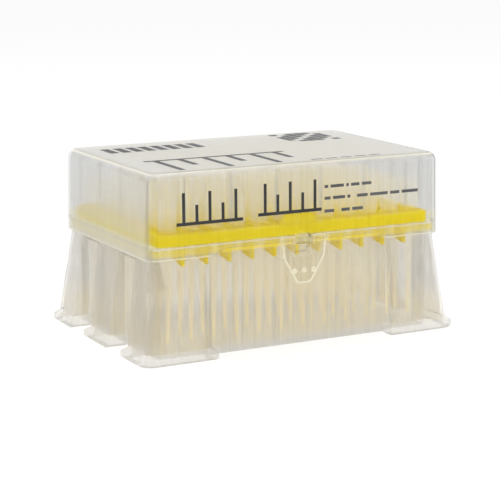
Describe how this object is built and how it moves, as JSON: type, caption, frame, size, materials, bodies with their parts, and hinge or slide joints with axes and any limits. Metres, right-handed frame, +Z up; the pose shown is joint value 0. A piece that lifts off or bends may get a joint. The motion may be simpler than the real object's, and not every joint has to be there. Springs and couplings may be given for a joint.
{
  "type": "box of filter pipette tips",
  "caption": "Clear hinged box on splayed feet with a front latch and a yellow rack that holds filter pipette tips in rows",
  "frame": {"origin": "Centre of the rectangle that the feet stand on, at the level of the surface under them", "axes": "+X along the length, to the right seen from the latch side; +Y from the latch to the hinges; +Z up"},
  "size_m": [0.1278, 0.0856, 0.0656],
  "materials": {
    "clear_plastic": "natural translucent moulding, faintly frosted",
    "yellow_plastic": "opaque moulding, soft sheen",
    "tip_plastic": "clear moulding"
  },
  "bodies": {
    "box": {"base": "clear_plastic", "rack": "yellow_plastic", "tip_row1_col1": "tip_plastic", "tip_row1_col2": "tip_plastic", "tip_row1_col3": "tip_plastic", "tip_row1_col4": "tip_plastic", "tip_row1_col5": "tip_plastic", "tip_row1_col6": "tip_plastic", "tip_row1_col7": "tip_plastic", "tip_row1_col8": "tip_plastic", "tip_row1_col9": "tip_plastic", "tip_row1_col10": "tip_plastic", "tip_row1_col11": "tip_plastic", "tip_row1_col12": "tip_plastic", "tip_row2_col1": "tip_plastic", "tip_row2_col2": "tip_plastic", "tip_row2_col3": "tip_plastic", "tip_row2_col4": "tip_plastic", "tip_row2_col5": "tip_plastic", "tip_row2_col6": "tip_plastic", "tip_row2_col7": "tip_plastic", "tip_row2_col8": "tip_plastic", "tip_row2_col9": "tip_plastic", "tip_row2_col10": "tip_plastic", "tip_row2_col11": "tip_plastic", "tip_row2_col12": "tip_plastic", "tip_row3_col1": "tip_plastic", "tip_row3_col2": "tip_plastic", "tip_row3_col3": "tip_plastic", "tip_row3_col4": "tip_plastic", "tip_row3_col5": "tip_plastic", "tip_row3_col6": "tip_plastic", "tip_row3_col7": "tip_plastic", "tip_row3_col8": "tip_plastic", "tip_row3_col9": "tip_plastic", "tip_row3_col10": "tip_plastic", "tip_row3_col11": "tip_plastic", "tip_row3_col12": "tip_plastic", "tip_row4_col1": "tip_plastic", "tip_row4_col2": "tip_plastic", "tip_row4_col3": "tip_plastic", "tip_row4_col4": "tip_plastic", "tip_row4_col5": "tip_plastic", "tip_row4_col6": "tip_plastic", "tip_row4_col7": "tip_plastic", "tip_row4_col8": "tip_plastic", "tip_row4_col9": "tip_plastic", "tip_row4_col10": "tip_plastic", "tip_row4_col11": "tip_plastic", "tip_row4_col12": "tip_plastic"},
    "lid": {"lid": "clear_plastic"},
    "latch": {"latch": "clear_plastic"}
  },
  "joints": [
    {"name": "lid_hinge", "type": "hinge", "parent": "box", "child": "lid", "pos_m": [0, 0.0394, 0.0398], "axis": [-1, 0, 0], "range_deg": [0, 110]},
    {"name": "latch_hinge", "type": "hinge", "parent": "lid", "child": "latch", "pos_m": [0, -0.0394, 0.03855], "axis": [-1, 0, 0], "range_deg": [0, 100]}
  ]
}
